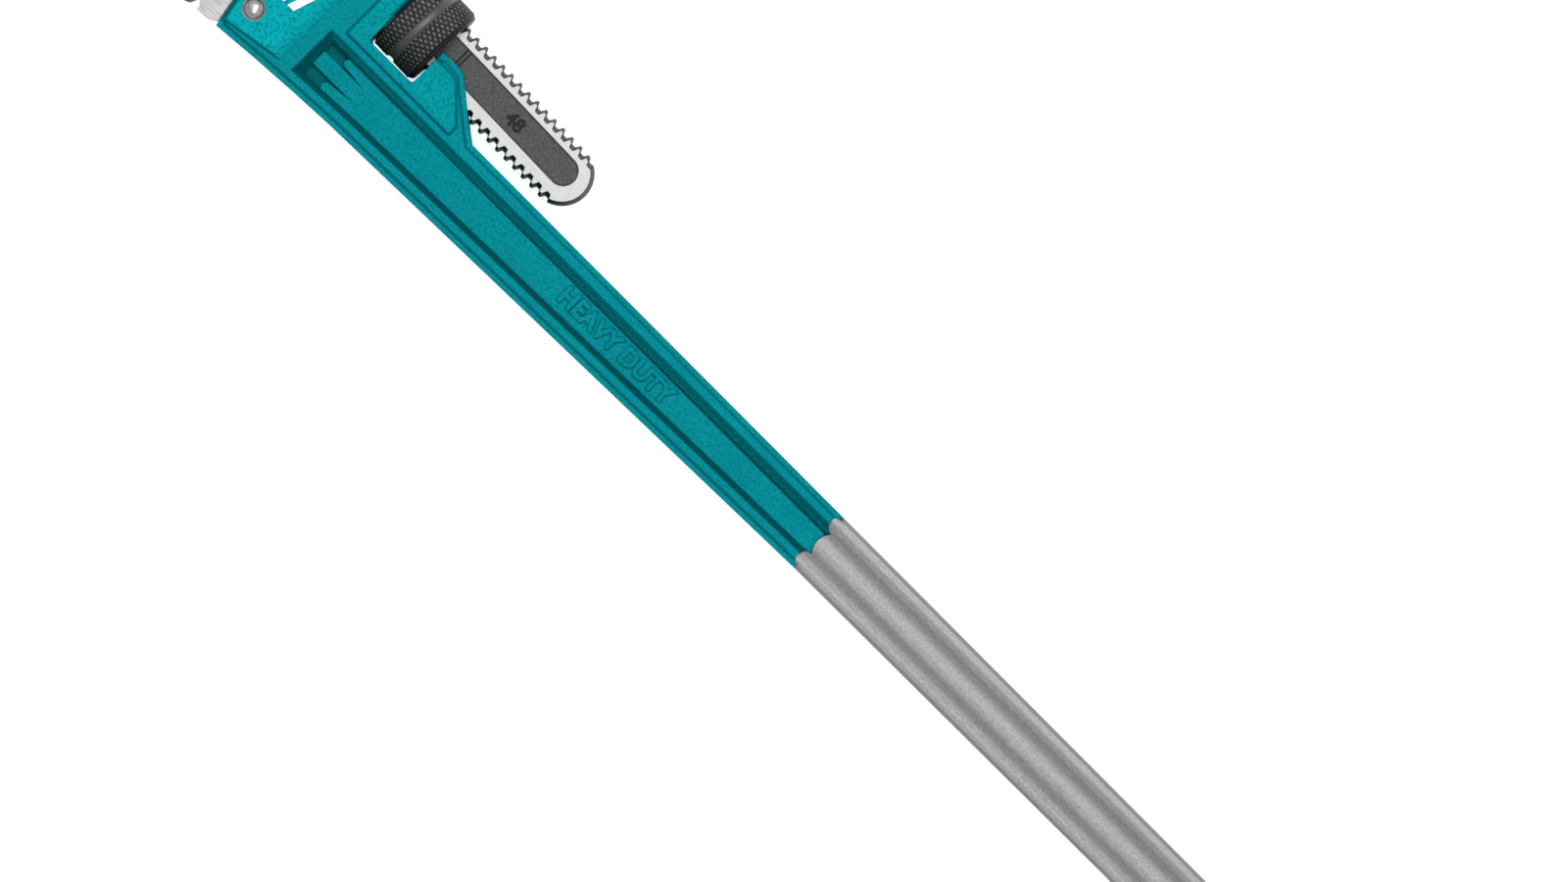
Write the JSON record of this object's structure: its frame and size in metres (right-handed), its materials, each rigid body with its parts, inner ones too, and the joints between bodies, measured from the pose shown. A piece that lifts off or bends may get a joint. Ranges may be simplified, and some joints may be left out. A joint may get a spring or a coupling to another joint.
{
  "type": "pipe wrench",
  "caption": "Straight heavy-duty pipe wrench with an adjustable hook jaw, knurled nut, spring-loaded rocking shank, toothed heel jaw and gripped I-beam handle.",
  "frame": {"origin": "middle of the hang hole in the handle's tail, at mid-thickness", "axes": "+X along the handle, away from the jaws; +Y from the handle towards the hook jaw's shank; +Z along the hang hole, square to the wrench's side face"},
  "size_m": [1.2002, 0.1443, 0.0632],
  "materials": {
    "teal_enamel": "semi-gloss enamel over a cast surface",
    "grey_vinyl": "matt, finely speckled moulded vinyl",
    "forged_steel": "ground flats, black heat-treated edges",
    "ground_steel": "surface ground",
    "bright_steel": "bright, peened ends",
    "black_oxide_steel": "black oxide",
    "spring_steel": "blued spring steel",
    "plain_steel": "turned",
    "spring_wire": "drawn wire"
  },
  "bodies": {
    "handle_body": {"handle": "teal_enamel", "grip": "grey_vinyl", "heel_jaw": "ground_steel", "heel_jaw_pin": "bright_steel", "leaf_spring_pin": "plain_steel", "coil_spring": "spring_wire"},
    "rocker": {"leaf_spring": "spring_steel"},
    "hook": {"hook_jaw": "forged_steel"},
    "nut": {"adjusting_nut": "black_oxide_steel"}
  },
  "joints": [
    {"name": "jaw_rock", "type": "hinge", "parent": "handle_body", "child": "rocker", "pos_m": [-1.034, 0.03197, 0], "axis": [0, 0, 1], "range_deg": [0, 1.5], "stiffness_Nm_per_rad": 100, "springref_deg": -1.15},
    {"name": "nut_spin", "type": "hinge", "parent": "rocker", "child": "nut", "pos_m": [-1.0027, 0.0573, 0], "axis": [0.9996, -0.027, 0], "range_deg": [-25.51, 4953.54]},
    {"name": "hook_slide", "type": "slide", "parent": "rocker", "child": "hook", "axis": [-0.9996, 0.027, 0], "range_m": [-0.0011, 0.117]}
  ],
  "couplings": [
    {"joint": "hook_slide", "follows": "nut_spin", "m_per_rad": 0.0013475}
  ]
}
